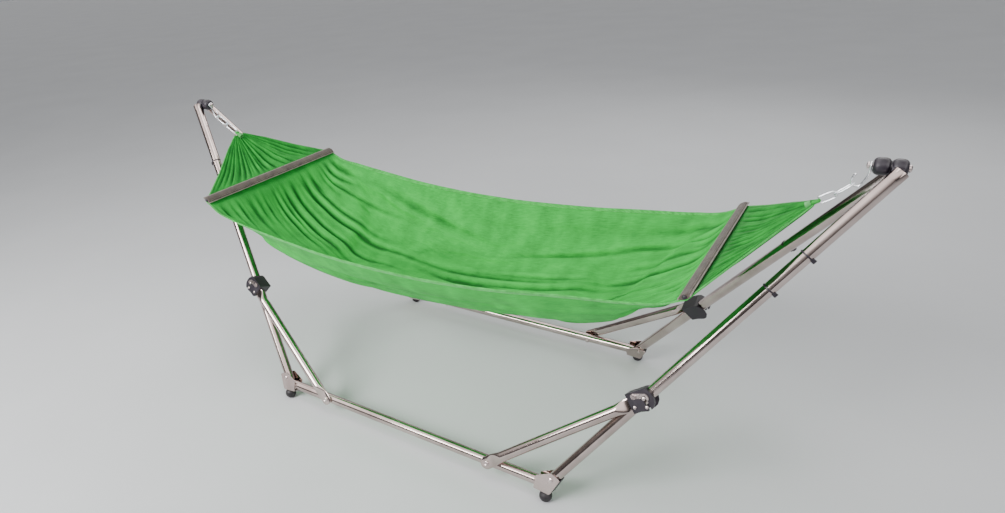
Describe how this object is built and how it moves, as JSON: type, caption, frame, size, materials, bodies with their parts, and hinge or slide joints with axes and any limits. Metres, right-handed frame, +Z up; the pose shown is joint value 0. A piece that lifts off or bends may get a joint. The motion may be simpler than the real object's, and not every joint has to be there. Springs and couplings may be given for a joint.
{
  "type": "hammock on stand",
  "caption": "Knitted fabric hammock with spreader bars, hung on hooks from a folding stand of two hinged tubular side frames with latched diagonal struts and ball feet.",
  "frame": {"origin": "on the floor, under the middle of the stand", "axes": "+X along the hammock towards its right end, -Y towards the front side frame, +Z up"},
  "size_m": [2.4056, 0.8232, 0.968],
  "materials": {
    "polished_steel": "polished stainless steel tube and sheet",
    "steel_fittings": "plain stainless steel rivets, bolts and latch plates",
    "zinc_wire": "bright zinc-plated steel wire",
    "bar_steel": "plain steel rod inside the sleeve",
    "black_plastic": "moulded plastic with a satin face",
    "foot_rubber": "solid rubber ball, matte",
    "green_fabric": "knitted synthetic cloth with a soft sheen",
    "brown_tape": "woven tape with pale piped edges"
  },
  "bodies": {
    "front_frame": {"front_base_tube": "polished_steel", "front_left_upright": "polished_steel", "front_right_upright": "polished_steel", "front_left_gusset": "polished_steel", "front_right_gusset": "polished_steel", "front_left_corner_rivet": "steel_fittings", "front_right_corner_rivet": "steel_fittings", "front_left_strut_rivet": "steel_fittings", "front_right_strut_rivet": "steel_fittings", "front_left_catch_stud": "steel_fittings", "front_right_catch_stud": "steel_fittings", "front_left_tube_clip": "black_plastic", "front_right_tube_clip": "black_plastic", "front_left_hinge_knuckle": "black_plastic", "front_right_hinge_knuckle": "black_plastic", "front_left_foot": "foot_rubber", "front_right_foot": "foot_rubber"},
    "rear_frame": {"rear_base_tube": "polished_steel", "rear_left_upright": "polished_steel", "rear_right_upright": "polished_steel", "rear_left_gusset": "polished_steel", "rear_right_gusset": "polished_steel", "rear_left_corner_rivet": "steel_fittings", "rear_right_corner_rivet": "steel_fittings", "rear_left_strut_rivet": "steel_fittings", "rear_right_strut_rivet": "steel_fittings", "rear_left_catch_stud": "steel_fittings", "rear_right_catch_stud": "steel_fittings", "rear_left_tube_clip": "black_plastic", "rear_right_tube_clip": "black_plastic", "rear_left_hinge_knuckle": "black_plastic", "rear_right_hinge_knuckle": "black_plastic", "rear_left_foot": "foot_rubber", "rear_right_foot": "foot_rubber"},
    "hangers": {"left_hinge_bolt": "steel_fittings", "left_hook": "zinc_wire", "right_hinge_bolt": "steel_fittings", "right_hook": "zinc_wire"},
    "hammock": {"hammock_cloth": "green_fabric", "left_hook_link": "zinc_wire", "left_cloth_link": "zinc_wire", "left_spreader_sleeve": "brown_tape", "left_spreader_bar": "bar_steel", "right_hook_link": "zinc_wire", "right_cloth_link": "zinc_wire", "right_spreader_sleeve": "brown_tape", "right_spreader_bar": "bar_steel"},
    "front_left_strut_arm": {"front_left_strut": "polished_steel", "front_left_clamp_block": "black_plastic"},
    "front_left_latch_plate": {"front_left_latch": "steel_fittings"},
    "front_right_strut_arm": {"front_right_strut": "polished_steel", "front_right_clamp_block": "black_plastic"},
    "front_right_latch_plate": {"front_right_latch": "steel_fittings"},
    "rear_left_strut_arm": {"rear_left_strut": "polished_steel", "rear_left_clamp_block": "black_plastic"},
    "rear_left_latch_plate": {"rear_left_latch": "steel_fittings"},
    "rear_right_strut_arm": {"rear_right_strut": "polished_steel", "rear_right_clamp_block": "black_plastic"},
    "rear_right_latch_plate": {"rear_right_latch": "steel_fittings"}
  },
  "joints": [
    {"name": "frame_close", "type": "hinge", "parent": "front_frame", "child": "rear_frame", "pos_m": [0, 0, 0.948], "axis": [-1, 0, 0], "range_deg": [0, 43]},
    {"name": "hanger_follow", "type": "hinge", "parent": "front_frame", "child": "hangers", "pos_m": [0, 0, 0.948], "axis": [-1, 0, 0], "range_deg": [0, 21.5]},
    {"name": "hammock_swing", "type": "hinge", "parent": "hangers", "child": "hammock", "pos_m": [0, 0, 0.899], "axis": [1, 0, 0], "range_deg": [-25, 25]},
    {"name": "front_left_strut_swing", "type": "hinge", "parent": "front_frame", "child": "front_left_strut_arm", "pos_m": [-0.3259, -0.39756, 0.05846], "axis": [0, 0.9278, -0.3731], "range_deg": [0, 16]},
    {"name": "front_left_latch_turn", "type": "hinge", "parent": "front_left_strut_arm", "child": "front_left_latch_plate", "pos_m": [-0.71959, -0.28482, 0.36699], "axis": [0, 0.9278, -0.3731], "range_deg": [0, 60]},
    {"name": "front_right_strut_swing", "type": "hinge", "parent": "front_frame", "child": "front_right_strut_arm", "pos_m": [0.3259, -0.39756, 0.05846], "axis": [0, -0.9278, 0.3731], "range_deg": [0, 16]},
    {"name": "front_right_latch_turn", "type": "hinge", "parent": "front_right_strut_arm", "child": "front_right_latch_plate", "pos_m": [0.71959, -0.28482, 0.36699], "axis": [0, -0.9278, 0.3731], "range_deg": [0, 60]},
    {"name": "rear_left_strut_swing", "type": "hinge", "parent": "rear_frame", "child": "rear_left_strut_arm", "pos_m": [-0.3259, 0.39756, 0.05846], "axis": [0, 0.9278, 0.3731], "range_deg": [0, 16]},
    {"name": "rear_left_latch_turn", "type": "hinge", "parent": "rear_left_strut_arm", "child": "rear_left_latch_plate", "pos_m": [-0.71959, 0.28482, 0.36699], "axis": [0, 0.9278, 0.3731], "range_deg": [0, 60]},
    {"name": "rear_right_strut_swing", "type": "hinge", "parent": "rear_frame", "child": "rear_right_strut_arm", "pos_m": [0.3259, 0.39756, 0.05846], "axis": [0, -0.9278, -0.3731], "range_deg": [0, 16]},
    {"name": "rear_right_latch_turn", "type": "hinge", "parent": "rear_right_strut_arm", "child": "rear_right_latch_plate", "pos_m": [0.71959, 0.28482, 0.36699], "axis": [0, -0.9278, -0.3731], "range_deg": [0, 60]}
  ],
  "couplings": [
    {"joint": "hanger_follow", "follows": "frame_close", "ratio": 0.5}
  ]
}
